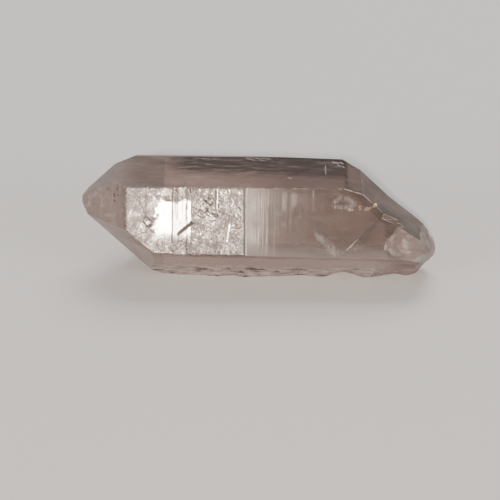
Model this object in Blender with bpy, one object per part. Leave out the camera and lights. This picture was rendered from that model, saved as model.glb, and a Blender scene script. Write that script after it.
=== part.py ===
"""A natural quartz point that lies on one of its six prism faces.

The long axis runs along X, with the pointed end at -X and the broken end at +X. The face that looks
up and the one it rests on are level. Every plane is given by two angles and its distance from a seed
point in the middle of the crystal: `around` turns about the long axis, from +Y over +Z, and `lean`
tips the plane's normal toward +X (positive) or -X (negative). Places on a face are measured from the
foot of the seed on it: `along` the crystal, and `across` the face. Lengths are in millimetres until
they are handed to Blender, which takes metres.
"""

import math
import random

import bmesh
import bpy
from mathutils import Matrix, Vector, noise

MM = 0.001

# A pointed face of quartz leans this much, in degrees, from the prism face under it.
POINT_LEAN = 38.21

# How far round the long axis each prism face looks. They stand 60 degrees apart.
UPPER_BACK, TOP, FRONT, UNDER, REST, BACK = 30, 90, 150, 210, 270, 330

# Growth faces of the prism: around, lean, distance from the seed.
PRISM_FACES = {
    "top": (TOP, 0.2, 11.0),
    "front": (FRONT, 0.0, 13.15),
    "under": (UNDER, -0.7, 14.7),
    "rest": (REST, 0.0, 11.0),
    "back": (BACK, 0.4, 9.4),
    "upper back": (UPPER_BACK, 0.2, 10.9),
    "upper back toward the end": (UPPER_BACK, 3.3, 10.85),
}

# The six faces of the point. Small departures from the ideal lean are the crystal's own.
POINT_FACES = {
    "point top": (TOP, -POINT_LEAN, 29.0),
    "point front": (FRONT, -POINT_LEAN, 28.5),
    "point under": (UNDER, -35.6, 25.4),
    "point rest": (REST, -POINT_LEAN, 22.1),
    "point back": (BACK, -POINT_LEAN, 21.0),
    "point upper back": (UPPER_BACK, -POINT_LEAN, 26.0),
}

# The growth faces that remain at the other end, above the break.
END_FACES = {
    "end top": (TOP, POINT_LEAN, 22.4),
    "end shoulder": (TOP, 14.7, 15.3),
    "end upper back": (UPPER_BACK, POINT_LEAN, 19.8),
}

# Growth steps: place along the crystal, and how deep the face lies there.
FRONT_STEPS = [
    (-36.0, 0.05), (-28.5, 0.05), (-25.2, 0.16), (-25.1, 0.05), (-19.4, 0.10), (-19.2, 0.30),
    (-16.3, 0.24), (-16.1, 0.06), (-15.2, 0.06), (-15.0, 0.22), (-9.9, 0.10), (-9.7, 0.20),
    (-6.6, 0.09), (-6.4, 0.22), (-3.5, 0.12), (-2.9, 0.52), (1.9, 0.34), (2.1, 0.45),
    (4.8, 0.36), (5.0, 0.48), (8.3, 0.40), (8.5, 0.50), (13.8, 0.42), (14.0, 0.50),
    (20.4, 0.44), (20.6, 0.52), (31.0, 0.46), (44.0, 0.46),
]
BACK_STEPS = [
    (-44.0, 0.05), (-21.0, 0.22), (-20.7, 0.05), (-12.0, 0.25), (-11.6, 0.08), (-4.0, 0.28),
    (-3.6, 0.10), (6.0, 0.30), (6.4, 0.12), (17.0, 0.34), (17.4, 0.14), (44.0, 0.40),
]

# Both long faces of that end rise again where they near the break.
END_STEPS = [(-30.0, 0.65), (21.5, 0.65), (28.0, 0.05), (45.0, 0.05)]

# Shell-shaped scars along the lower front edge: place, depth and half length.
EDGE_SCARS = [
    (-23.5, 0.3, 3.0), (-8.3, 0.6, 3.0), (7.0, 0.5, 3.4), (16.9, 1.9, 5.0), (28.8, 1.5, 6.0),
    (36.5, 1.8, 3.2),
]

# Where the front face gives way to the break, and how much the break leans from it.
FRONT_BREAK_START = 29.4
FRONT_BREAK_LEAN = 14.5

# Breaks at the far end: centre from the seed, around, lean, and a number that sets the form.
END_BREAKS = {
    "break_upper": ((38.1, -5.4, -3.0), 95.0, 59.5, 3),
    "break_upper_far": ((38.4, -3.7, -4.1), 14.0, 53.0, 8),
    "break_end": ((39.3, -6.2, -6.4), 147.0, 76.0, 13),
    "break_lower": ((37.5, -8.1, -7.9), 220.0, 48.0, 5),
    "break_lower_far": ((37.5, -6.4, -8.9), 280.0, 46.0, 17),
    "break_corner": ((35.0, -9.2, -9.9), 233.0, 25.0, 29),
    "break_far": ((29.8, 5.0, -5.0), 335.0, 48.0, 21),
}

# The worn corner of the very tip: centre from the seed, around and lean.
TIP_CHIP = ((-39.5, -3.7, 3.1), 219.0, -69.0)

# A small ledge under the upper end face: its corner on the front face, how far it is turned there,
# how steeply its floor drops, and its length.
LEDGE_CORNER = (26.3, -0.95)
LEDGE_TURN = -21.4
LEDGE_DROP = 38.0
LEDGE_LENGTH = 5.9

# A straight slot in the front face: middle, how far it is turned, length, width and depth.
SLOT_MIDDLE = (-16.6, -3.6)
SLOT_TURN = 41.0
SLOT_SIZE = (4.5, 0.55, 0.6)

# Pits etched in the front face: along, across and width. The first is the large rhomb.
FRONT_PITS = [
    (-24.8, -2.5, 2.3), (-13.3, 3.4, 0.7), (-12.0, 2.4, 1.0), (-10.9, 3.1, 0.6), (-11.9, 0.6, 0.8),
    (-10.3, -0.5, 1.1), (-12.9, -1.6, 0.6), (-11.4, -2.3, 0.9), (-7.6, -2.9, 0.8), (-7.4, -4.4, 1.0),
    (-8.1, -5.9, 0.7),
]
# The same on the front face of the point, measured on that face.
POINT_PITS = [(-17.8, 4.7, 0.6), (-18.7, 3.8, 0.8), (-18.7, 2.3, 0.7), (-20.6, 5.0, 0.5)]

# Knocks on the hidden edges: centre of each round scar from the seed, and its radius.
KNOCKS = [
    ((-12.0, 5.7, -13.3), 3.0), ((8.0, 6.1, -14.0), 4.0), ((20.0, 14.5, 1.6), 3.5),
    ((-20.0, 13.7, 1.6), 2.6),
]

# Distance between the points that describe a broken surface.
BREAK_GRAIN = 0.7


def clear_scene():
    for thing in list(bpy.data.objects):
        bpy.data.objects.remove(thing, do_unlink=True)


def new_collection(name, rendered=True):
    collection = bpy.data.collections.new(name)
    collection.hide_render = not rendered
    bpy.context.scene.collection.children.link(collection)
    return collection


def crystal_material():
    material = bpy.data.materials.new("clear_quartz")
    material.use_nodes = True
    surface = material.node_tree.nodes["Principled BSDF"]
    surface.inputs["Base Color"].default_value = (0.62, 0.53, 0.49, 1.0)
    surface.inputs["Roughness"].default_value = 0.12
    surface.inputs["Metallic"].default_value = 0.0
    surface.inputs["IOR"].default_value = 1.544
    surface.inputs["Transmission Weight"].default_value = 0.7
    return material


def normal_of(around, lean):
    turn = math.radians(around)
    tip = math.radians(lean)
    return Vector((math.sin(tip), math.cos(tip) * math.cos(turn), math.cos(tip) * math.sin(turn)))


def axes_of(around, lean):
    """Axes that lie with a plane: X along the crystal, Y across the plane, Z out of it."""
    out = normal_of(around, lean)
    along = (Vector((1, 0, 0)) - out * out.x).normalized()
    return Matrix((along, out.cross(along), out)).transposed().to_4x4()


def place_on(face, along, across, depth=0.0):
    """Where a detail of a face sits, with its Z out of the face."""
    around, lean, distance = face
    axes = axes_of(around, lean)
    return axes @ Matrix.Translation((along, across, distance - depth))


def add_object(name, bm, collection, material=None):
    bmesh.ops.recalc_face_normals(bm, faces=bm.faces)
    bmesh.ops.scale(bm, vec=(MM, MM, MM), verts=bm.verts)
    mesh = bpy.data.meshes.new(name)
    bm.to_mesh(mesh)
    bm.free()
    thing = bpy.data.objects.new(name, mesh)
    collection.objects.link(thing)
    if material:
        mesh.materials.append(material)
    else:
        thing.hide_render = True
        thing.display_type = "WIRE"
    return thing


def cut_off(bm, around, lean, distance):
    """Takes away what lies outside a plane, and closes the solid with a new face there."""
    out = normal_of(around, lean)
    everything = bm.verts[:] + bm.edges[:] + bm.faces[:]
    cut = bmesh.ops.bisect_plane(
        bm, geom=everything, dist=1e-5, plane_co=out * distance, plane_no=out, clear_outer=True
    )
    rim = [edge for edge in cut["geom_cut"] if isinstance(edge, bmesh.types.BMEdge)]
    bmesh.ops.edgeloop_fill(bm, edges=rim)


def grown_crystal(collection, material):
    bm = bmesh.new()
    bmesh.ops.create_cube(bm, size=120.0)
    for faces in (PRISM_FACES, POINT_FACES, END_FACES):
        for around, lean, distance in faces.values():
            cut_off(bm, around, lean, distance)
    return add_object("quartz_crystal", bm, collection, material)


def spread(length, count):
    return [length * (i / count - 0.5) for i in range(count + 1)]


def sheet(columns, rows, height, place, thickness=20.0):
    """A slab whose inner side follows `height`, to cut a surface of that form into the crystal.

    `columns` and `rows` are the places of its points along and across the sheet, `height` says how
    far the surface rises at each, and `place` puts the sheet in the crystal.
    """
    bm = bmesh.new()
    bmesh.ops.create_grid(bm, x_segments=len(columns) - 1, y_segments=len(rows) - 1, size=0.5)
    for vert in bm.verts:
        x = columns[round((vert.co.x + 0.5) * (len(columns) - 1))]
        y = rows[round((vert.co.y + 0.5) * (len(rows) - 1))]
        vert.co = (x, y, height(x, y))
    raised = bmesh.ops.extrude_face_region(bm, geom=bm.faces[:])
    for vert in raised["geom"]:
        if isinstance(vert, bmesh.types.BMVert):
            vert.co.z = thickness
    bmesh.ops.transform(bm, matrix=place, verts=bm.verts)
    return bm


def break_height(form, swell, ripple, wave=1.6, stretch=1.0):
    """Height of a break in quartz: broad swells, and ripples round the place where it was struck."""
    struck_x, struck_y = 3.0 * stretch, -2.0

    def height(x, y):
        broad = noise.noise(Vector((x / (7.0 * stretch), y / 7.0, form)))
        middle = noise.noise(Vector((x / (2.6 * stretch), y / 2.6, form + 20)))
        away = math.hypot((x - struck_x) / stretch, y - struck_y)
        rings = math.sin(2 * math.pi * (away / wave + 0.5 * middle))
        return swell * (broad + 0.3 * middle) + ripple * rings

    return height


def break_cutter(place, form, size, swell=0.9):
    """A square of broken surface, `size` wide."""
    rough = break_height(form, swell, ripple=0.09 * swell)
    places = spread(size, round(size / BREAK_GRAIN))
    return sheet(places, places, rough, place)


def end_break_cutters():
    """The breaks at the far end. Each takes its own side off, and they meet in ridges."""
    front = PRISM_FACES["front"]
    start = place_on(front, FRONT_BREAK_START, -4.0, 0.5).translation
    front_place = Matrix.Translation(start) @ axes_of(front[0], FRONT_BREAK_LEAN)
    cuts = {"break_front": break_cutter(front_place, form=44, size=28.0, swell=0.7)}
    for name, (centre, around, lean, form) in END_BREAKS.items():
        place = Matrix.Translation(centre) @ axes_of(around, lean)
        cuts[name] = break_cutter(place, form, size=26.0)
    return cuts


def lower_edge_cutter(length=84.0, width=13.0):
    """The chipped lower front edge: a rough band that eats into the face that looks down."""
    around, lean, distance = PRISM_FACES["under"]
    rough = break_height(form=31, swell=0.55, ripple=0.07, wave=1.5, stretch=2.6)

    def height(x, y):
        scars = sum(
            depth * math.cos(0.5 * math.pi * min(1.0, abs(x - place) / half)) ** 2
            for place, depth, half in EDGE_SCARS
        )
        near_edge = min(1.0, max(0.0, (5.0 - y) / 4.5))
        return rough(x, y) - scars * near_edge

    tilted = axes_of(around + 5.0, lean) @ Matrix.Translation((2.0, -4.0, distance - 0.2))
    columns = spread(length, round(length / BREAK_GRAIN))
    rows = spread(width, round(width / (1.3 * BREAK_GRAIN)))
    return sheet(columns, rows, height, tilted)


def step_depth(steps, along):
    """How deep a stepped face lies at a place along the crystal."""
    for (start, depth), (end, next_depth) in zip(steps, steps[1:]):
        if along <= end:
            return depth + (next_depth - depth) * (along - start) / (end - start)
    return steps[-1][1]


def step_cutter(face, steps, width=26.0):
    """Gives a face its growth steps, which run across it."""
    columns = [along for along, depth in steps]
    return sheet(columns, spread(width, 1), lambda x, y: -step_depth(steps, x), place_on(face, 0, 0))


def block_cutter(place, length, width, height):
    bm = bmesh.new()
    bmesh.ops.create_cube(bm, size=1.0)
    bmesh.ops.scale(bm, vec=(length, width, height), verts=bm.verts)
    bmesh.ops.transform(bm, matrix=place, verts=bm.verts)
    return bm


def slot_cutter():
    length, width, depth = SLOT_SIZE
    turn = Matrix.Rotation(math.radians(SLOT_TURN), 4, "Z")
    return block_cutter(place_on(PRISM_FACES["front"], *SLOT_MIDDLE) @ turn, length, width, 2 * depth)


def ledge_cutter(width=5.0, height=12.0):
    """A block that stands on the ledge's sloping floor, with one lower corner at the ledge's own."""
    turn = Matrix.Rotation(math.radians(LEDGE_TURN), 4, "Z")
    drop = Matrix.Rotation(math.radians(LEDGE_DROP), 4, "Y")
    middle = Matrix.Translation((LEDGE_LENGTH / 2, width / 2, height / 2))
    place = place_on(PRISM_FACES["front"], *LEDGE_CORNER) @ turn @ drop @ middle
    return block_cutter(place, LEDGE_LENGTH, width, height)


def pit_cutter(face, pits, steps=((-50.0, 0.0), (50.0, 0.0))):
    """Small four-sided pits with flat floors, as quartz etches. They reach up out of the face."""
    pick = random.Random(7)
    bm = bmesh.new()
    for along, across, width in pits:
        floor = step_depth(steps, along) + 0.3 * width
        height = floor + 0.4
        pit = bmesh.ops.create_cone(
            bm, segments=4, radius1=0.3 * width, radius2=0.62 * width, depth=height, cap_ends=True
        )
        turn = Matrix.Rotation(math.radians(pick.uniform(-12, 12)), 4, "Z")
        narrow = Matrix.Diagonal((1.0, pick.uniform(0.7, 1.0), 1.0, 1.0))
        place = place_on(face, along, across, floor - height / 2)
        bmesh.ops.transform(bm, matrix=place @ turn @ narrow, verts=pit["verts"])
    return bm


def knock_cutter():
    bm = bmesh.new()
    for centre, radius in KNOCKS:
        place = Matrix.Translation(centre)
        bmesh.ops.create_icosphere(bm, subdivisions=3, radius=radius, matrix=place)
    return bm


def cutters():
    """Every cut that turns the ideal crystal into this one, by name."""
    tip_centre, tip_around, tip_lean = TIP_CHIP
    tip_place = Matrix.Translation(tip_centre) @ axes_of(tip_around, tip_lean)
    return {
        "front_steps": step_cutter(PRISM_FACES["front"], FRONT_STEPS),
        "back_steps": step_cutter(PRISM_FACES["back"], BACK_STEPS),
        "end_top_rise": step_cutter(END_FACES["end top"], END_STEPS),
        "end_back_rise": step_cutter(END_FACES["end upper back"], END_STEPS),
        "lower_edge": lower_edge_cutter(),
        **end_break_cutters(),
        "tip_chip": break_cutter(tip_place, form=2, size=8.0, swell=0.35),
        "slot": slot_cutter(),
        "ledge": ledge_cutter(),
        "front_pits": pit_cutter(PRISM_FACES["front"], FRONT_PITS, FRONT_STEPS),
        "point_pits": pit_cutter(POINT_FACES["point front"], POINT_PITS),
        "knocks": knock_cutter(),
    }


def stand_on_origin(crystal):
    """Moves the crystal and its cutters so that the middle of its underside is the origin."""
    bpy.context.view_layer.update()
    shape = crystal.evaluated_get(bpy.context.evaluated_depsgraph_get())
    corners = [Vector(corner) for corner in shape.bound_box]
    low = Vector([min(corner[axis] for corner in corners) for axis in range(3)])
    high = Vector([max(corner[axis] for corner in corners) for axis in range(3)])
    crystal.location = -Vector(((low.x + high.x) / 2, (low.y + high.y) / 2, low.z))


def main():
    clear_scene()
    crystal = grown_crystal(new_collection("quartz_point"), crystal_material())
    hidden = new_collection("cutters", rendered=False)
    for name, bm in cutters().items():
        cutter = add_object(name, bm, hidden)
        cutter.parent = crystal
        cut = crystal.modifiers.new(name, "BOOLEAN")
        cut.operation = "DIFFERENCE"
        cut.object = cutter
    stand_on_origin(crystal)


main()
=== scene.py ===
import math
import random

import bpy
import numpy as np
from mathutils import Matrix, Vector


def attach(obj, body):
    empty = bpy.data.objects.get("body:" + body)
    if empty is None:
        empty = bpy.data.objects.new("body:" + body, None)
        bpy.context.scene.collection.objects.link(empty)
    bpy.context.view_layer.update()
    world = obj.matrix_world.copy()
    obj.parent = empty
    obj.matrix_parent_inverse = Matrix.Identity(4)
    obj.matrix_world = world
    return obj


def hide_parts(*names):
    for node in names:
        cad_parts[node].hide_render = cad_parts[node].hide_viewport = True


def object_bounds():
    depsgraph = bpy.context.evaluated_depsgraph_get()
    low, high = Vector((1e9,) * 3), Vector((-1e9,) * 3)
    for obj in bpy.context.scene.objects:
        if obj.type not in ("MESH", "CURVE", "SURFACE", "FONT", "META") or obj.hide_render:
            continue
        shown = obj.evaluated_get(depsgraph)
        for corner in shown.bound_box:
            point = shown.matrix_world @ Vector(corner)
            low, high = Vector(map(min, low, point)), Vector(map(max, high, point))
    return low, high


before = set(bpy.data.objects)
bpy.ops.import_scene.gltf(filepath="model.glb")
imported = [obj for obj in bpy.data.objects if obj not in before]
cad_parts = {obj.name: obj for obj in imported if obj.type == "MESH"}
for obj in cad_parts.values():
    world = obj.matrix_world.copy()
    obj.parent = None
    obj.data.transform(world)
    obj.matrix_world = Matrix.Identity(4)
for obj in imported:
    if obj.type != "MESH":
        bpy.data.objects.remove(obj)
cad_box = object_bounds()


# The quartz point itself: one clear crystal, grown as one piece and lying on a prism face. The packed
# solid has its growth faces, steps and breaks. This finer body stands for it, with edges worn by
# handling and breaks as closely rippled as broken quartz.
MM = 0.001
LENGTHWISE = Vector((1, 0, 0))

# The seed is the point inside the crystal that all places are measured from. The reaches are how far
# from it three of the prism faces lie, in millimetres, and the turns are how each face stands round it.
TOP_REACH, FRONT_REACH, REST_REACH = 11.0, 13.15, 11.0
SEED = Vector((cad_box[0].x + 40.01 * MM, cad_box[1].y - 11.77 * MM, cad_box[0].z + REST_REACH * MM))
TOP, FRONT, UNDER, REST, BACK, UPPER_BACK = 90, 150, 210, 270, 330, 30


def outward_at(turn):
    """The way that a prism face looks, from its turn round the crystal in degrees."""
    return Vector((0, math.cos(math.radians(turn)), math.sin(math.radians(turn))))


FRONT_OUT = outward_at(FRONT)
FRONT_UP = FRONT_OUT.cross(LENGTHWISE)
MERGE_WITHIN = 0.002 * MM
FLAT_ENOUGH = math.radians(0.25)


def only(thing):
    bpy.ops.object.select_all(action="DESELECT")
    bpy.context.view_layer.objects.active = thing
    thing.select_set(True)


def in_edit_mode(thing, *steps):
    only(thing)
    bpy.ops.object.mode_set(mode="EDIT")
    for step in steps:
        step()
    bpy.ops.object.mode_set(mode="OBJECT")


def pick(thing, kind, chosen):
    """Selects only the chosen vertices, edges or faces of a mesh, by number."""
    mesh = thing.data
    bpy.context.tool_settings.mesh_select_mode = (kind == "vertices", kind == "edges", kind == "polygons")
    for name in ("vertices", "edges", "polygons"):
        parts = getattr(mesh, name)
        picked = np.zeros(len(parts), bool)
        if name == kind:
            picked[list(chosen)] = True
        parts.foreach_set("select", picked)


def apply_all(thing):
    only(thing)
    for modifier in list(thing.modifiers):
        bpy.ops.object.modifier_apply(modifier=modifier.name)


crystal = bpy.data.objects.new("crystal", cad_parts["quartz_crystal"].data.copy())
crystal.data.materials.clear()
bpy.context.scene.collection.objects.link(crystal)

# Beyond the strong step of the front face, and on all of the back face, the growth steps are so faint
# that the face is one plane. The back face tapers a little toward its far end.
FAINT_STEPS_FROM, FAINT_STEPS_DEPTH, FAINT_STEPS_MOST = -3.0 * MM, 0.45 * MM, 0.15 * MM
BACK_START, BACK_TAPER, BACK_STEPS_MOST = 9.27 * MM, 0.0075, 0.22 * MM
BACK_FROM, BACK_TO = -24 * MM, 27.5 * MM
FRONT_TOP_EDGE, BACK_MIDDLE = 10 * MM, -4 * MM


def slide(vertex, rise, face, beside):
    """Raises a point of one prism face along the face beside it, so that the other face stays flat."""
    vertex.co += outward_at(beside + 90) * rise / math.sin(math.radians(face - beside))


for vertex in crystal.data.vertices:
    place = vertex.co - SEED
    rise = FRONT_REACH * MM - place.dot(FRONT_OUT) - FAINT_STEPS_DEPTH
    if place.x > FAINT_STEPS_FROM and abs(rise) < FAINT_STEPS_MOST:
        slide(vertex, rise, FRONT, TOP if place.z > FRONT_TOP_EDGE else UNDER)
    rise = BACK_START - BACK_TAPER * place.x - place.dot(outward_at(BACK))
    if BACK_FROM < place.x < BACK_TO and abs(rise) < BACK_STEPS_MOST:
        slide(vertex, rise, BACK, UPPER_BACK if place.z > BACK_MIDDLE else REST)
in_edit_mode(
    crystal,
    lambda: bpy.ops.mesh.select_all(action="SELECT"),
    lambda: bpy.ops.mesh.remove_doubles(threshold=MERGE_WITHIN),
    lambda: bpy.ops.mesh.dissolve_limited(angle_limit=FLAT_ENOUGH),
)

# How breaks, pits and worn edges are told from growth faces, and how deep they are worn and rippled.
LOWER_EDGE_OF_FRONT, TIP_END = -9.6 * MM, -38.5 * MM
SMALLEST_GROWTH_FACE = 0.6 * MM * MM
SHORTEST_WORN_EDGE, SHORTEST_WEAR, WEAR_OFF_AXIS = 0.8 * MM, 2.5 * MM, 1 * MM
LEAST_WORN_ANGLE = math.radians(14)
EDGE_WEAR = 0.11 * MM
BREAK_SWELL, BREAK_RIPPLE = 0.22 * MM, 0.04 * MM


def is_broken(face):
    """A break is made of small faces, and so are pits, which lie above the front face's lower edge."""
    from_seed = face.center - SEED
    on_front = from_seed.dot(FRONT_UP) > LOWER_EDGE_OF_FRONT and from_seed.x < 0 and from_seed.y < 0
    on_tip = from_seed.x < TIP_END
    return face.area < SMALLEST_GROWTH_FACE and (on_tip or not on_front)


def is_wear(face):
    """A worn edge is long and about as narrow as the wear, and slants between the two faces beside it."""
    corners = [crystal.data.vertices[i].co for i in face.vertices]
    longest = max((one - other).length for one, other in zip(corners, corners[1:] + corners[:1]))
    off_axis = (face.center - SEED) - LENGTHWISE * (face.center - SEED).x
    return longest > SHORTEST_WEAR and face.area < longest * EDGE_WEAR and off_axis.length > WEAR_OFF_AXIS


def faces_beside(mesh):
    """The two faces at each edge."""
    found = [[] for edge in mesh.edges]
    for face in mesh.polygons:
        for loop in face.loop_indices:
            found[mesh.loops[loop].edge_index].append(face)
    return found


def is_worn(mesh, edge, faces):
    """Only the long convex edges between two growth faces show wear."""
    one, other = faces
    length = (mesh.vertices[edge.vertices[0]].co - mesh.vertices[edge.vertices[1]].co).length
    if length < SHORTEST_WORN_EDGE or is_broken(one) or is_broken(other):
        return False
    convex = (other.center - one.center).dot(one.normal) < 0
    return convex and one.normal.angle(other.normal) > LEAST_WORN_ANGLE


pairs = zip(crystal.data.edges, faces_beside(crystal.data))
pick(crystal, "edges", [edge.index for edge, faces in pairs if is_worn(crystal.data, edge, faces)])
in_edit_mode(
    crystal,
    lambda: bpy.ops.mesh.bevel(offset=EDGE_WEAR, segments=2, affect="EDGES", clamp_overlap=False),
)

worn_mark = crystal.data.attributes.new("worn_and_glint", "FLOAT", "FACE")
worn_mark.data.foreach_set("value", np.array([is_wear(face) for face in crystal.data.polygons], float))

# The breaks: their faces are divided, rounded and rippled. The rim, where a growth face begins, stays.
def shares_broken(mesh):
    """How far each face is part of a break, from 0 to 1."""
    shares = np.zeros(len(mesh.polygons))
    mesh.attributes["broken"].data.foreach_get("value", shares)
    return shares


is_break = [is_broken(face) for face in crystal.data.polygons]
break_mark = crystal.data.attributes.new("broken", "FLOAT", "FACE")
break_mark.data.foreach_set("value", np.array(is_break, float))
pick(crystal, "polygons", np.flatnonzero(is_break))
in_edit_mode(crystal, lambda: bpy.ops.mesh.subdivide(number_cuts=2))
inner = np.ones(len(crystal.data.vertices), bool)
for face, share in zip(crystal.data.polygons, shares_broken(crystal.data)):
    if share < 0.5:
        inner[list(face.vertices)] = False
pick(crystal, "vertices", np.flatnonzero(inner))
in_edit_mode(crystal, lambda: bpy.ops.mesh.vertices_smooth(factor=0.5, repeat=4))
loose = crystal.vertex_groups.new(name="inside a break")
loose.add(np.flatnonzero(inner).tolist(), 1.0, "REPLACE")
for size, height in ((1.9 * MM, BREAK_SWELL), (0.55 * MM, BREAK_RIPPLE)):
    ripple = bpy.data.textures.new("break ripple", "CLOUDS")
    ripple.noise_scale = size
    push = crystal.modifiers.new("break ripple", "DISPLACE")
    push.texture = ripple
    push.texture_coords = "LOCAL"
    push.vertex_group = loose.name
    push.strength = height
    push.mid_level = 0.5
apply_all(crystal)

# Nothing goes below the ground, and the slivers that the division left are taken out.
for vertex in crystal.data.vertices:
    vertex.co.z = max(vertex.co.z, 0)
in_edit_mode(
    crystal,
    lambda: bpy.ops.mesh.select_all(action="SELECT"),
    lambda: bpy.ops.mesh.dissolve_degenerate(threshold=MERGE_WITHIN),
)
only(crystal)
bpy.ops.object.shade_smooth_by_angle(angle=math.radians(38))
crystal.data.polygons.foreach_set("use_smooth", shares_broken(crystal.data) > 0.5)
for edge, (one, other) in zip(crystal.data.edges, faces_beside(crystal.data)):
    if one.use_smooth != other.use_smooth:
        edge.use_edge_sharp = True


# What it is made of: quartz, clear with a faint smoky rose tint, a little milky under its faces. Growth
# lines run round the prism, the large face is etched from the tip to the strong step, and the breaks
# are satin.
class Flow:
    """A shader socket that takes part in sums."""

    def __init__(self, socket, nodes):
        self.socket = socket
        self.nodes = nodes

    def maths(self, operation, *values):
        return self.nodes.add("ShaderNodeMath", {"operation": operation}, *values)["Value"]

    def __add__(self, other):
        return self.maths("ADD", self, other)

    def __mul__(self, other):
        return self.maths("MULTIPLY", self, other)

    def __sub__(self, other):
        return self.maths("SUBTRACT", self, other)

    def __rsub__(self, other):
        return self.maths("SUBTRACT", other, self)

    def most(self, other):
        return self.maths("MAXIMUM", self, other)

    def size(self):
        """How far it is from 0, on either side."""
        return self.maths("ABSOLUTE", self)

    def between(self, low, high):
        """0 up to low, 1 from high on, and a soft rise between them."""
        settings = {"interpolation_type": "SMOOTHSTEP"}
        return self.nodes.add("ShaderNodeMapRange", settings, self, low, high)["Result"]

    __radd__ = __add__
    __rmul__ = __mul__


class Finish:
    """A material, whose nodes are added one at a time."""

    def __init__(self, name, **plain):
        self.material = bpy.data.materials.new(name)
        self.material.use_nodes = True
        self.tree = self.material.node_tree
        self.surface = self.tree.nodes["Principled BSDF"]
        self.output = self.tree.nodes["Material Output"]
        for socket, value in plain.items():
            self.feed(self.surface.inputs[socket.replace("_", " ")], value)

    def add(self, kind, settings=None, *values, **named):
        node = self.tree.nodes.new(kind)
        for key, value in (settings or {}).items():
            setattr(node, key, value)
        sockets = [node.inputs[i] for i in range(len(values))]
        sockets += [node.inputs[name.replace("_", " ")] for name in named]
        for socket, value in zip(sockets, list(values) + list(named.values())):
            self.feed(socket, value)
        return {socket.name: Flow(socket, self) for socket in node.outputs if socket.enabled}

    def feed(self, socket, value):
        if isinstance(value, Flow):
            self.tree.links.new(value.socket, socket)
        else:
            socket.default_value = value

    def vector(self, operation, *values):
        made = self.add("ShaderNodeVectorMath", {"operation": operation}, *values)
        return made["Value" if operation == "DOT_PRODUCT" else "Vector"]

    def point(self, x, y, z):
        return self.add("ShaderNodeCombineXYZ", None, x, y, z)["Vector"]

    def millimetres(self, start):
        """Where a point of the surface lies, in millimetres from the start."""
        from_start = self.vector("SUBTRACT", self.add("ShaderNodeTexCoord")["Object"], start)
        return self.vector("MULTIPLY", from_start, (1000,) * 3)

    def noise(self, place, scale, detail=2.0, roughness=0.5):
        settings = {"Scale": scale, "Detail": detail, "Roughness": roughness}
        return self.add("ShaderNodeTexNoise", None, place, **settings)["Fac"]

    def mix(self, share, one, other):
        """From one colour to another as share goes from 0 to 1."""
        node = self.tree.nodes.new("ShaderNodeMix")
        node.data_type = "RGBA"
        for name, value in (("Factor_Float", share), ("A_Color", one), ("B_Color", other)):
            socket = next(s for s in node.inputs if s.identifier == name)
            self.feed(socket, value)
        return Flow(next(s for s in node.outputs if s.identifier == "Result_Color"), self)

    def bump(self, height, distance, under=None):
        """Relief as high as this distance, on top of the relief under it."""
        settings = {"Strength": 1.0, "Distance": distance, "Height": height}
        if under:
            settings["Normal"] = under
        return self.add("ShaderNodeBump", None, **settings)["Normal"]


quartz = Finish("clear_quartz", IOR=1.544, Transmission_Weight=0.66)
SMOKY_ROSE, TINT_DENSITY = (0.745, 0.54, 0.46, 1.0), 60.0
tint = quartz.add("ShaderNodeVolumeAbsorption", None, SMOKY_ROSE, TINT_DENSITY)["Volume"]
quartz.feed(quartz.output.inputs["Volume"], tint)

# Places on the crystal. All that follows is in millimetres from the seed: along the crystal, across
# the front face upward, and outward from that face. A name such as on_front is 1 there and 0 elsewhere.
spot = quartz.millimetres(SEED)
xyz = quartz.add("ShaderNodeSeparateXYZ", None, spot)
along = xyz["X"]
across = quartz.vector("DOT_PRODUCT", spot, FRONT_UP)
outward = quartz.vector("DOT_PRODUCT", spot, FRONT_OUT)
on_front = outward.between(12.2, 12.4)
on_top = xyz["Z"].between(10.6, 10.8) * (1 - on_front)
broken = quartz.add("ShaderNodeAttribute", {"attribute_name": "broken"})["Fac"]
on_prism = (1 - along.between(28, 31)) * along.between(-31, -30)
front_place = quartz.point(along, across, 0.0)


def stroke(start, end, width, soft=0.12, place=front_place):
    """1 on a line drawn on a face from start to end, both given along and across."""
    course = (Vector(end) - Vector(start)).to_3d()
    offset = quartz.vector("SUBTRACT", place, (*start, 0.0))
    reach = quartz.vector("DOT_PRODUCT", offset, course / course.length_squared)
    share = quartz.add("ShaderNodeClamp", None, reach, 0.0, 1.0)["Result"]
    foot = quartz.add("ShaderNodeVectorMath", {"operation": "SCALE"}, course, Scale=share)["Vector"]
    gap = quartz.add("ShaderNodeVectorMath", {"operation": "DISTANCE"}, offset, foot)["Value"]
    return gap.between(width / 2 + soft / 2, width / 2 - soft / 2)


def strokes(*lines, place=front_place):
    """All of these lines at once."""
    total = stroke(*lines[0], place=place)
    for line in lines[1:]:
        total = total.most(stroke(*line, place=place))
    return total


# Growth lines are as good as straight across the faces, of uneven depth and spacing.
waver = quartz.noise(spot, 0.35) * 0.4
line_place = quartz.point(along + waver, across * 0.03, xyz["Z"] * 0.03)
fine_lines = quartz.noise(line_place, 3.0, 3.0, 0.65)
broad_lines = quartz.noise(line_place, 0.8, 2.0, 0.5)
fading = quartz.noise(spot, 0.12, 1.0).between(0.3, 0.6)
lines = (fine_lines + broad_lines * 2.0) * on_prism * fading

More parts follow.
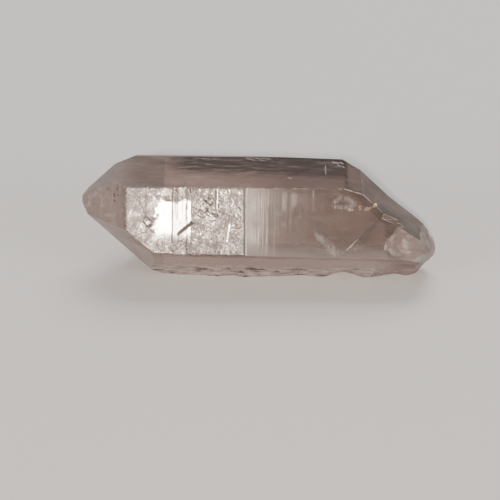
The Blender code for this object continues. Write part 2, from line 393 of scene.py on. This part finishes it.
# Etching: shallow crowded pits, strongest on the large face from the tip to the strong step. Two of
# the narrow growth levels there are smoother than the rest.
etched = on_front * (1 - along.between(-3.6, -3.1)) * along.between(-31.5, -30.5)
patchy = quartz.noise(spot, 0.45, 3.0, 0.6)
grain = quartz.noise(spot, 2.4, 6.0, 0.8)
ragged = along + (patchy - 0.5) * 6.0 + (grain - 0.5) * 4.0
smooth_level = ragged.between(-24.2, -22.6) * (1 - along.between(-15.2, -14.9))
smooth_level = smooth_level * (across + patchy * 3.0).between(-5.5, -2.5)
smooth_level = smooth_level * (1 - (across + patchy * 4.0 + grain * 2.0).between(4.8, 6.6) * 0.85)
bright_lines = strokes(
    ((-9.35, 5.2), (-9.42, 0.8), 0.32, 0.2), ((-6.45, -1.6), (-7.3, -6.7), 0.34, 0.2),
    ((-6.5, 3.6), (-5.8, 2.2), 0.25, 0.2), ((-5.8, 2.2), (-6.6, 0.8), 0.25, 0.2),
    ((-8.0, -0.6), (-7.0, -1.8), 0.2, 0.2), ((-6.9, 5.1), (-6.6, 4.0), 0.3, 0.2),
    ((-13.2, -3.9), (-13.0, -5.2), 0.3, 0.2), ((-13.0, -5.2), (-12.3, -5.0), 0.2, 0.2),
)
smooth_level = smooth_level.most(bright_lines)
pits = quartz.add("ShaderNodeTexVoronoi", {"feature": "F1"}, spot, Scale=2.2, Randomness=1.0)["Distance"]
etching = (pits * 0.6 + grain) * (0.45 + patchy.between(0.35, 0.65) * 0.55)

# The rhomb, the slot and the rims of the pits between them and the strong step. Their outlines,
# the squiggly pits and the lines along the steps are painted dark, as painted shade where their walls turn
# the highlight away.
rhomb = strokes(
    ((-25.74, -2.07), (-25.19, -0.84), 0.32), ((-25.19, -0.84), (-23.67, -2.2), 0.34),
    ((-23.67, -2.2), (-24.49, -3.58), 0.28), ((-24.49, -3.58), (-25.74, -2.07), 0.2),
)
slot = strokes(
    ((-18.24, -4.60), (-15.30, -2.07), 0.22), ((-18.05, -5.21), (-14.75, -2.55), 0.22),
    ((-18.24, -4.60), (-18.05, -5.21), 0.22), ((-15.30, -2.07), (-14.75, -2.55), 0.18),
)
slot_floor = stroke((-18.0, -4.85), (-15.1, -2.4), 0.6) * on_front
pit_rims = quartz.noise(spot, 1.3, 3.0, 0.6).between(0.57, 0.60)
pit_field = etched * (1 - (along + 11.2).size().between(1.6, 3.0))
pit_field = pit_field * across.between(-1.6, -0.8) * (1 - across.between(3.0, 4.0))
squiggles = strokes(
    ((-5.6, -3.1), (-4.4, -2.4), 0.16), ((-5.2, -3.6), (-4.2, -3.3), 0.14),
    ((-12.7, 1.7), (-11.9, 2.6), 0.2), ((-12.4, 2.8), (-11.5, 1.9), 0.16),
    ((-11.9, 0.5), (-10.2, -0.7), 0.18), ((-13.9, -0.6), (-12.6, -1.3), 0.16),
    ((-10.6, 3.4), (-9.9, 2.2), 0.14), ((-12.0, -0.2), (-11.2, -0.9), 0.22),
    ((-18.6, 4.9), (-18.1, 4.2), 0.3), ((-15.5, 5.0), (-15.3, 4.2), 0.25),
    ((-23.9, -9.0), (-19.6, -6.6), 0.12), ((-19.9, -8.0), (-16.6, -5.7), 0.14),
    ((-19.0, -8.6), (-15.6, -6.3), 0.1), ((-18.3, 5.2), (-18.2, -1.6), 0.08),
    ((-17.1, 4.6), (-17.1, -1.2), 0.06), ((-16.5, 5.2), (-16.5, -2.2), 0.1),
    ((-15.9, 5.2), (-15.9, 1.0), 0.08), ((-22.0, 4.9), (-22.0, 1.6), 0.06),
)
step_line = strokes(
    ((-3.55, 5.2), (-3.45, -9.4), 0.4, 0.4), ((-9.75, 5.2), (-9.8, 1.2), 0.18),
    ((-19.3, 5.2), (-19.3, -7.0), 0.16),
)
shaded_marks = rhomb.most(slot).most(pit_rims * pit_field).most(squiggles * 0.8).most(step_line * 0.6) * on_front

# Pits and light lines on the front face of the point, measured on that face.
POINT_OUT = Vector((-0.6185, -0.6804, 0.3929))
POINT_ALONG = (LENGTHWISE - POINT_OUT * POINT_OUT.x).normalized()
POINT_ACROSS = POINT_OUT.cross(POINT_ALONG)
on_point = quartz.vector("DOT_PRODUCT", spot, POINT_OUT).between(28.0, 28.2)
point_place = quartz.point(
    quartz.vector("DOT_PRODUCT", spot, POINT_ALONG), quartz.vector("DOT_PRODUCT", spot, POINT_ACROSS), 0.0
)
point_pits = strokes(
    ((-17.9, 4.8), (-17.5, 5.5), 0.2), ((-18.8, 3.9), (-18.5, 3.2), 0.3),
    ((-18.8, 2.4), (-18.4, 2.2), 0.3), ((-20.7, 5.0), (-20.5, 4.9), 0.3),
    ((-17.6, 3.6), (-17.5, 3.5), 0.25),
    place=point_place,
)
# The point's pits are painted dark the same way, as painted shade.
shaded_marks = shaded_marks.most(point_pits * on_point)
point_lines = strokes(
    ((-19.2, 6.4), (-16.6, 6.4), 0.5, 0.4), ((-19.1, 5.9), (-19.0, 2.6), 0.35, 0.3),
    ((-22.7, 3.5), (-22.4, 1.4), 0.4, 0.4), ((-17.0, 6.0), (-16.9, 4.0), 0.3, 0.3),
    place=point_place,
) * on_point

# Breaks are rippled in fine lines that run along the crystal, over broader shells.
ripple_place = quartz.point(along * 0.35, across, outward)
on_end = along.between(24, 30)
ripples = quartz.noise(ripple_place, 0.9 - on_end * 0.35, 5.0, 0.6)

LINE_HEIGHT, ETCHING_DEPTH, RIPPLE_HEIGHT = 0.0035 * MM, 0.05 * MM, 0.28 * MM
relief = quartz.bump(lines, LINE_HEIGHT)
relief = quartz.bump(etching * etched * (1 - smooth_level * 0.8), ETCHING_DEPTH, relief)
relief = quartz.bump(ripples * broken, RIPPLE_HEIGHT, relief)
quartz.feed(quartz.surface.inputs["Normal"], relief)

# Haze lies in streaks along the crystal. The point and the breaks are the palest. The far half of
# the top and the growth face beyond it are darker, partly a smoky tint and partly painted shade.
haze_place = quartz.point(along * 0.3, xyz["Y"], xyz["Z"])
haze = quartz.noise(haze_place, 0.16, 5.0, 0.6).between(0.3, 0.7)
mottle = quartz.noise(haze_place, 0.7, 5.0, 0.65)
# The lower part of the front face beyond the strong step is painted lighter, as painted light.
lit_lower_front = on_front * (1 - (across + patchy * 2.0).between(-8.4, -4.8)) * along.between(-4, 2)
pale = (1 - along.between(-34, -26)) * 0.45 + broken * (0.35 - on_end * 0.1) + lit_lower_front * 0.35
under = (1 - outward.between(11.5, 12.0)) * (1 - xyz["Z"].between(-1.2, -0.6)) * on_prism
pale = pale + under * 0.5
END_TOP_OUT = (0.6185, 0, 0.7857)
end_lean = quartz.vector("DOT_PRODUCT", quartz.add("ShaderNodeNewGeometry")["Normal"], END_TOP_OUT)
on_end_top = end_lean.size().between(0.86, 0.90) * along.between(10, 12) * (1 - broken)
# A streaky band along the top is painted near black, as painted shade seen through the crystal.
band_place = quartz.point(along * 0.16, xyz["Y"] * 1.1, 0.0)
streaks = quartz.noise(band_place, 1.0, 5.0, 0.65)
far_band_shade = (xyz["Y"] + streaks * 4.0 + along * 0.06).between(-3.2, 1.8) * along.between(-24, -16)
top_end = 1 - along.between(18.5, 21)
far_band_shade = on_top * far_band_shade * streaks.between(0.36, 0.5) * top_end
# The growth face beyond the top, told by the way it faces, is painted darker as shade, in mottled patches.
end_shade = on_end_top * (1 - along.between(29, 34) * 0.9)
smoke_and_shade = mottle.between(0.3, 0.7) * 0.3 * along.between(-26, 4) + along.between(-4, 10) * 0.3
smoke_and_shade = on_top * smoke_and_shade * top_end + end_shade * (0.1 + mottle.between(0.3, 0.7) * 0.8)
# The front face beyond the strong step is painted darker as shade, less in its lower part.
smoke_and_shade = smoke_and_shade + on_front * along.between(-3, 3) * (0.55 - lit_lower_front * 0.53)
wisp = strokes(
    ((16.4, 2.4), (17.7, 3.3), 0.9, 0.9), ((17.7, 3.3), (19.3, 3.1), 1.0, 1.0),
    ((19.3, 3.1), (20.6, 2.0), 0.9, 0.9), ((20.6, 2.0), (19.7, 1.1), 0.8, 0.8),
    ((19.7, 1.1), (16.2, 1.4), 0.8, 0.8), ((12.3, -4.8), (13.2, -5.6), 0.8, 0.8),
    ((13.2, -5.6), (15.2, -7.0), 1.3, 1.2), ((15.2, -7.0), (16.4, -8.8), 1.3, 1.2),
)
# The light bars on the front face beyond the strong step, the broad one just past the step among them, are
# painted sheen where the lamp catches the growth steps.
sheen_bars = strokes(
    ((5.3, 4.2), (5.2, -2.6), 0.9, 0.8), ((7.4, 3.6), (7.3, -3.6), 1.2, 1.1),
    ((8.7, 2.8), (8.6, -1.0), 0.8, 0.8), ((11.7, 4.8), (11.7, 0.5), 0.4, 0.4),
    ((1.9, 4.8), (1.8, 1.6), 0.5, 0.4), ((-1.4, 4.9), (-1.5, -6.5), 2.2, 2.0),
)
fade = quartz.noise(spot, 0.22, 2.0).between(0.38, 0.6)
# The wisps are lighter as milky film; the bars add painted sheen.
light = (wisp + sheen_bars * fade) * on_front + point_lines
light = light * quartz.noise(line_place, 1.6, 4.0, 0.7).between(0.3, 0.65)

# The colours, from what lies deepest to the marks on the surface.
CLEAR, HAZY = (0.25, 0.185, 0.16, 1.0), (0.42, 0.33, 0.295, 1.0)
DEEP, MILKY = (0.16, 0.115, 0.10, 1.0), (0.60, 0.505, 0.47, 1.0)
PALE, CLOUD_WHITE = (0.72, 0.62, 0.58, 1.0), (0.95, 0.85, 0.81, 1.0)
SMOKE_AND_SHADE, BAND_SHADE = (0.075, 0.057, 0.05, 1.0), (0.04, 0.03, 0.027, 1.0)
WHITE_AND_SHEEN, CHIP_AND_GLINT_WHITE = (0.92, 0.83, 0.79, 1.0), (0.95, 0.88, 0.85, 1.0)
BREAK_ROSE, LEDGE_SHADE = (0.44, 0.33, 0.29, 1.0), (0.14, 0.10, 0.085, 1.0)
SHELL_HIGHLIGHT, SHELL_SHADE = (1.0, 0.92, 0.88, 1.0), (0.07, 0.05, 0.043, 1.0)
PIT_BROWN_AND_SHADE, SLOT_GREY = (0.12, 0.085, 0.07, 1.0), (0.22, 0.18, 0.16, 1.0)
RIM_SHADE = (0.06, 0.05, 0.045, 1.0)
colour = quartz.mix(haze, CLEAR, HAZY)
colour = quartz.mix((1 - mottle.between(0.3, 0.5)) * 0.5, colour, DEEP)
colour = quartz.mix(mottle.between(0.5, 0.75) * 0.6, colour, MILKY)
colour = quartz.mix(pale, colour, PALE)
colour = quartz.mix(smoke_and_shade, colour, SMOKE_AND_SHADE)
colour = quartz.mix(far_band_shade * 0.9, colour, BAND_SHADE)
colour = quartz.mix(light * 0.5, colour, WHITE_AND_SHEEN)
colour = quartz.mix(broken * on_end * 0.6, colour, BREAK_ROSE)
clouds = quartz.noise(spot, 0.6, 5.0, 0.7).between(0.47, 0.7) * (1 - along.between(-34, -29))
colour = quartz.mix(clouds * 0.5, colour, CLOUD_WHITE)
# A strip along the ledge at the far end is painted dark brown, as painted shade.
ledge = stroke((27.0, 0.2), (30.2, -1.5), 1.9, 0.5) * outward.between(9.0, 9.5)
colour = quartz.mix(ledge * 0.6, colour, LEDGE_SHADE)
# The breaks' ripples are painted lighter on their crests, as painted highlight, and darker in their hollows,
# as painted shade.
shells = broken * (0.95 - on_end * 0.65)
colour = quartz.mix(ripples.between(0.52, 0.60) * shells, colour, SHELL_HIGHLIGHT)
colour = quartz.mix((1 - ripples.between(0.38, 0.46)) * shells, colour, SHELL_SHADE)
top_place = quartz.point(along, xyz["Y"], 0.0)
top_marks = strokes(
    ((16.3, 3.7), (16.8, 3.2), 0.35), ((17.0, 3.5), (17.6, 3.0), 0.35),
    ((17.3, 2.3), (18.0, 1.8), 0.25), ((18.0, 3.4), (18.6, 2.9), 0.35),
    ((18.4, 1.7), (18.8, 1.2), 0.25), ((14.6, 1.9), (14.6, -1.9), 0.13),
    ((-3.2, 4.9), (-1.4, 4.1), 0.16), ((-1.2, 5.1), (0.2, 4.5), 0.14), ((0.4, 4.9), (2.2, 4.6), 0.14),
    ((-0.2, 4.2), (1.2, 3.9), 0.12), ((-13.4, 4.7), (-11.6, 4.3), 0.1), ((6.2, -3.6), (6.9, -4.0), 0.2),
    place=top_place,
)
colour = quartz.mix(top_marks * on_top * 0.8, colour, CHIP_AND_GLINT_WHITE)
# The back edge of the top is painted white, as a painted highlight along the edge.
back_edge_glint = on_top * xyz["Y"].between(5.4, 5.9)
colour = quartz.mix(back_edge_glint * 0.7, colour, CHIP_AND_GLINT_WHITE)
# The etch pits are painted brown, partly their own tint and partly painted shade where they turn the
# highlight away; they are fainter round the rhomb.
calm = stroke((-25.1, -2.1), (-24.3, -2.3), 2.4, 0.8)
beyond_slot = along.between(-9.9, -9.6)
speckle = (grain + beyond_slot * 0.015).between(0.48, 0.60) * etched * (1 - calm * 0.6)
colour = quartz.mix(speckle * 0.7, colour, PIT_BROWN_AND_SHADE)
colour = quartz.mix(slot_floor * 0.6, colour, SLOT_GREY)
colour = quartz.mix(shaded_marks, colour, RIM_SHADE)
# The worn edges, away from the tip, are painted white in patches: partly chips, partly a painted highlight
# along the edges.
wear_patches = quartz.noise(spot, 0.5, 4.0, 0.7).between(0.4, 0.7)
worn_and_glint = quartz.add("ShaderNodeAttribute", {"attribute_name": "worn_and_glint"})["Fac"]
worn_and_glint = worn_and_glint * wear_patches * along.between(-31, -27)
colour = quartz.mix(worn_and_glint * 0.8, colour, CHIP_AND_GLINT_WHITE)
quartz.feed(quartz.surface.inputs["Base Color"], colour)

# The growth faces are the glossiest, the top most of all. Etching, breaks and marks are duller.
rough = 0.075 + speckle * 0.32 * (1 - smooth_level) + broken * 0.18 + (1 - on_front) * 0.14
rough = rough - on_top * 0.08 + slot_floor.most(shaded_marks) * 0.6
quartz.feed(quartz.surface.inputs["Roughness"], rough)

crystal.data.materials.append(quartz.material)
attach(crystal, "root")
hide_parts("quartz_crystal")


# Inclusions: thin films of fluid and air that the crystal closed over while it grew. Each cloud of them
# is one flake, modelled once and copied at many sizes and tilts just under a face.
def under_front(along, across, depth):
    """A point under the front face, in metres, from millimetres along, across and down."""
    return SEED + (LENGTHWISE * along + FRONT_UP * across + FRONT_OUT * (FRONT_REACH - depth)) * MM


def under_top(along, across, depth):
    return SEED + Vector((along, across, TOP_REACH - depth)) * MM


FLAKE_THICKNESS = 0.08
bpy.ops.object.select_all(action="DESELECT")
bpy.ops.mesh.primitive_uv_sphere_add(segments=7, ring_count=3, radius=0.5 * MM)
flake = bpy.context.object
flake.data.materials.clear()
for number, corner in enumerate(flake.data.vertices):
    corner.co *= 0.75 + 0.5 * math.sin(number * 2.4) ** 2


def cloud(name, places, sizes, finish, seed, facing=None, tilt=1.2):
    """Copies of the flake at these places, joined to one piece. With facing, they lie near that plane."""
    chance = random.Random(seed)
    copies = []
    for place in places:
        mesh = flake.data.copy()
        size = chance.uniform(*sizes)
        turn = Matrix.Rotation(chance.uniform(0, math.tau), 4, "Z")
        lean = Matrix.Rotation(chance.gauss(0, tilt), 4, "X") @ Matrix.Rotation(chance.gauss(0, tilt), 4, "Y")
        settle = facing.to_track_quat("Z", "Y").to_matrix().to_4x4() if facing else Matrix()
        stretch = Matrix.Diagonal((size, size * chance.uniform(0.4, 1.0), FLAKE_THICKNESS, 1.0))
        mesh.transform(Matrix.Translation(place) @ settle @ lean @ turn @ stretch)
        copy = bpy.data.objects.new(name, mesh)
        bpy.context.scene.collection.objects.link(copy)
        copies.append(copy)
    bpy.ops.object.select_all(action="DESELECT")
    for copy in copies:
        copy.select_set(True)
    bpy.context.view_layer.objects.active = copies[0]
    bpy.ops.object.join()
    piece = bpy.context.object
    piece.name = name
    piece.data.materials.append(finish.material)
    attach(piece, "root")
    return piece


def along_path(corners, count, spread, seed, facing=FRONT_OUT):
    """Places scattered round a path under a face, near the face's plane, more of them on a longer stretch."""
    chance = random.Random(seed)
    stretches = list(zip(corners, corners[1:]))
    lengths = [(end - start).length for start, end in stretches]
    found = []
    for start, end in chance.choices(stretches, lengths, k=count):
        off = Vector([max(-2.0, min(2.0, chance.gauss(0, 1))) for axis in range(3)]) * spread
        off -= facing * facing.dot(off) * 0.8
        found.append(start.lerp(end, chance.random()) + off)
    return found


def veil_finish(name, one, other, low, high, **plain):
    """A whitish film, patchy in colour and in how much of it is there."""
    film = Finish(name, IOR=1.45, **plain)
    patches = film.noise(film.millimetres((0, 0, 0)), 1.6, 4.0, 0.6)
    film.feed(film.surface.inputs["Base Color"], film.mix(patches, one, other))
    film.feed(film.surface.inputs["Alpha"], low + patches.between(0.35, 0.65) * (high - low))
    return film


HAZE_DULL, HAZE_BRIGHT = (0.72, 0.62, 0.58, 1), (1.0, 0.94, 0.91, 1)
MILK_DULL, MILK_BRIGHT = (0.80, 0.72, 0.69, 1), (1.0, 0.97, 0.95, 1)
hazy = veil_finish("hazy_film", HAZE_DULL, HAZE_BRIGHT, 0.03, 0.34, Roughness=0.5)
milky = veil_finish("milky_film", MILK_DULL, MILK_BRIGHT, 0.15, 0.75, Roughness=0.4)

# The wisps curl under the large face near its far end.
wisp_path = [
    (16.4, 2.4), (17.7, 3.3), (19.3, 3.1), (20.6, 2.0), (19.7, 1.1), (17.5, 0.9), (16.2, 1.4), (16.9, 2.2),
]
wisps = along_path([under_front(x, y, 1.6) for x, y in wisp_path], 300, 0.42 * MM, 11)
wisps += along_path([under_front(17.0, 1.7, 1.7), under_front(19.6, 2.3, 1.7)], 70, 0.5 * MM, 13)
cloud("wisps", wisps, (0.4, 1.0), hazy, 12)

# Beside the crack stands a leaf of film, with bright specks at its foot.
leaf_path = [(12.3, -4.6), (13.2, -5.3), (14.9, -6.4), (15.6, -7.7), (16.6, -9.0)]
leaf = along_path([under_front(x, y, 1.3) for x, y in leaf_path], 300, 0.5 * MM, 21)
leaf += along_path([under_front(x, y, 1.2) for x, y in ((15.2, -7.4), (17.6, -8.9))], 70, 0.5 * MM, 22)
leaf += along_path([under_front(x, y, 1.2) for x, y in ((19.8, -8.1), (22.2, -6.0))], 110, 0.35 * MM, 24)
cloud("leaf_film", leaf, (0.45, 1.1), hazy, 23, FRONT_OUT, 0.35)

# White chips and a short line of film under the far end of the top.
TOP_OUT = Vector((0, 0, 1))
chips = []
for start, end, depth, count, spread, seed in (
    ((16.3, 4.3), (18.5, 2.7), 0.6, 60, 0.35, 31), ((14.4, 1.9), (14.4, -1.8), 0.5, 40, 0.03, 32),
    ((1.2, 5.3), (4.2, 5.1), 0.5, 30, 0.12, 33), ((-2.4, -3.9), (-1.3, -3.9), 0.5, 10, 0.1, 34),
):
    ends = [under_top(*start, depth), under_top(*end, depth)]
    chips += along_path(ends, count, spread * MM, seed, TOP_OUT)
cloud("top_chips", chips, (0.12, 0.45), milky, 35)

# Small flakes of trapped air behind the wisps, given a painted golden glow in place of the light that they
# send back.
GOLD_DULL, GOLD_BRIGHT, GOLD_GLOW = (1.0, 0.70, 0.42, 1), (1.0, 0.88, 0.70, 1), (1.0, 0.74, 0.48, 1)
golden_glow = veil_finish(
    "golden_glow_film", GOLD_DULL, GOLD_BRIGHT, 0.6, 1.0,
    Roughness=0.25, Emission_Color=GOLD_GLOW, Emission_Strength=0.6,
)
spots = [
    (19.7, 0.45), (20.3, 0.5), (21.9, 1.3), (21.95, 0.8), (23.3, 0.75), (23.8, 0.8), (24.2, 1.0),
    (25.1, 1.45), (25.4, 1.7),
]
glints = []
for x, y in spots:
    glints += along_path([under_front(x, y, 1.0), under_front(x, y + 0.3, 1.0)], 5, 0.1 * MM, int(x * 10))
cloud("golden_glints", glints, (0.35, 0.75), golden_glow, 42, FRONT_OUT, 0.35)

# A few faint specks are scattered through the whole crystal.
chance = random.Random(51)
specks = []
for number in range(160):
    place = Vector((chance.uniform(-27, 28), chance.uniform(-7.5, 7.5), chance.uniform(-8.5, 9.0)))
    specks.append(SEED + place * MM)
cloud("specks", specks, (0.12, 0.4), milky, 52)
bpy.data.objects.remove(flake, do_unlink=True)


# The crack: a sheet that runs in from the front face near the break, seen edge on at its far end and
# broad at its near end. The far end is painted dark as the line of shade that it shows, and the near end
# white as a painted glint.
bpy.ops.object.select_all(action="DESELECT")
bpy.ops.mesh.primitive_grid_add(x_subdivisions=40, y_subdivisions=14, size=1.0)
crack = bpy.context.object
crack.name = "crack"
crack.data.materials.clear()
CRACK_TOP = under_front(18.7, -8.3, 0.35), under_front(26.2, -1.2, 0.35)
CRACK_FLOOR = under_front(22.6, -8.4, 4.2), under_front(26.4, -1.5, 5.0)
CRACK_SWAY = Vector((1, -0.6, 0.3))
CRACK_SHADE, CRACK_GLINT = (0.10, 0.08, 0.07, 1), (1.0, 0.97, 0.95, 1)
for corner in crack.data.vertices:
    share, down = corner.co.x + 0.5, corner.co.y + 0.5
    top = CRACK_TOP[0].lerp(CRACK_TOP[1], share)
    bottom = CRACK_FLOOR[0].lerp(CRACK_FLOOR[1], share)
    sway = math.sin(share * 9) * 0.12 + math.sin(share * 23 + down * 5) * 0.05
    corner.co = top.lerp(bottom, down) + CRACK_SWAY * sway * MM
thickness = crack.modifiers.new("thickness", "SOLIDIFY")
thickness.thickness = 0.02 * MM
apply_all(crack)
crack_film = Finish("crack_film", IOR=1.3, Roughness=0.2)
place = crack_film.millimetres(SEED)
patches = crack_film.noise(place, 0.9, 5.0, 0.7)
near_end = 1 - crack_film.add("ShaderNodeSeparateXYZ", None, place)["X"].between(21.0, 23.5)
colour = crack_film.mix(near_end, CRACK_SHADE, CRACK_GLINT)
crack_film.feed(crack_film.surface.inputs["Base Color"], colour)
there = patches.between(0.4, 0.6) * near_end + (1 - near_end) * 0.35
crack_film.feed(crack_film.surface.inputs["Alpha"], there)
crack.data.materials.append(crack_film.material)
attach(crack, "root")


# The floor is a plain pale sheet, large enough to fill every view.
bpy.ops.object.select_all(action="DESELECT")
bpy.ops.mesh.primitive_plane_add(size=6.0, location=(0, 0, 0))
floor = bpy.context.object
floor.name = "floor"
paint = Finish("pale_floor", Base_Color=(0.62, 0.61, 0.60, 1.0), Roughness=0.9)
floor.data.materials.append(paint.material)


# The camera looks down on the large face, almost square to it, as the photograph does.
CAMERA_RISE = math.radians(31.07)
CAMERA_ROLL = math.radians(0.37)
CAMERA_DISTANCE = 0.400
PICTURE_SIDE = 500
LENS_PIXELS = 1760
SHIFT_PIXELS = -10.22, -38.61
back = Vector((0, -math.cos(CAMERA_RISE), math.sin(CAMERA_RISE)))
level_up = Vector((0, math.sin(CAMERA_RISE), math.cos(CAMERA_RISE)))
right = LENGTHWISE * math.cos(CAMERA_ROLL) + level_up * math.sin(CAMERA_ROLL)
up = level_up * math.cos(CAMERA_ROLL) - LENGTHWISE * math.sin(CAMERA_ROLL)
view = bpy.data.cameras.new("view")
view.sensor_width = 36.0
view.lens = LENS_PIXELS / PICTURE_SIDE * view.sensor_width
view.shift_x = SHIFT_PIXELS[0] / PICTURE_SIDE
view.shift_y = SHIFT_PIXELS[1] / PICTURE_SIDE
view.clip_start = 0.01
camera = bpy.data.objects.new("view", view)
bpy.context.scene.collection.objects.link(camera)
turned = Matrix((right, up, back)).transposed().to_4x4()
camera.matrix_world = Matrix.Translation(SEED + back * CAMERA_DISTANCE) @ turned
bpy.context.scene.camera = camera


# The light: a pale room, a large soft panel behind and above, and a small soft lamp beside the lens,
# whose reflection lights up the left part of the large face.
world = bpy.data.worlds.new("studio")
world.use_nodes = True
room = world.node_tree.nodes["Background"]
room.inputs["Color"].default_value = (0.80, 0.79, 0.78, 1.0)
room.inputs["Strength"].default_value = 0.48
bpy.context.scene.world = world


def panel(name, place, width, height, power, colour=(1, 1, 1)):
    """A soft rectangular lamp that looks at the crystal."""
    data = bpy.data.lights.new(name, "AREA")
    data.shape = "RECTANGLE"
    data.size = width
    data.size_y = height
    data.energy = power
    data.color = colour
    lamp = bpy.data.objects.new(name, data)
    bpy.context.scene.collection.objects.link(lamp)
    lamp.location = place
    lamp.rotation_euler = (Vector(place) - SEED).to_track_quat("Z", "Y").to_euler()


panel("back_panel", (0.1, 0.55, 0.75), 0.6, 0.4, 6.0)
panel("left_panel", SEED + back * 0.62 + Vector((-0.79, 0, 0)), 0.25, 0.3, 3.0)
panel("right_panel", SEED + back * 0.53 + Vector((0.85, 0, 0)), 0.25, 0.3, 3.0)
WARM = (1.0, 0.83, 0.70)
panel("lens_panel", SEED + back * 1.2 + Vector((-0.084, 0, 0)) - up * 0.045, 0.026, 0.05, 10.0, WARM)
panel("lens_lamp", SEED + back * 1.19 + Vector((-0.063, 0, 0)) - up * 0.045, 0.014, 0.034, 3.0, WARM)
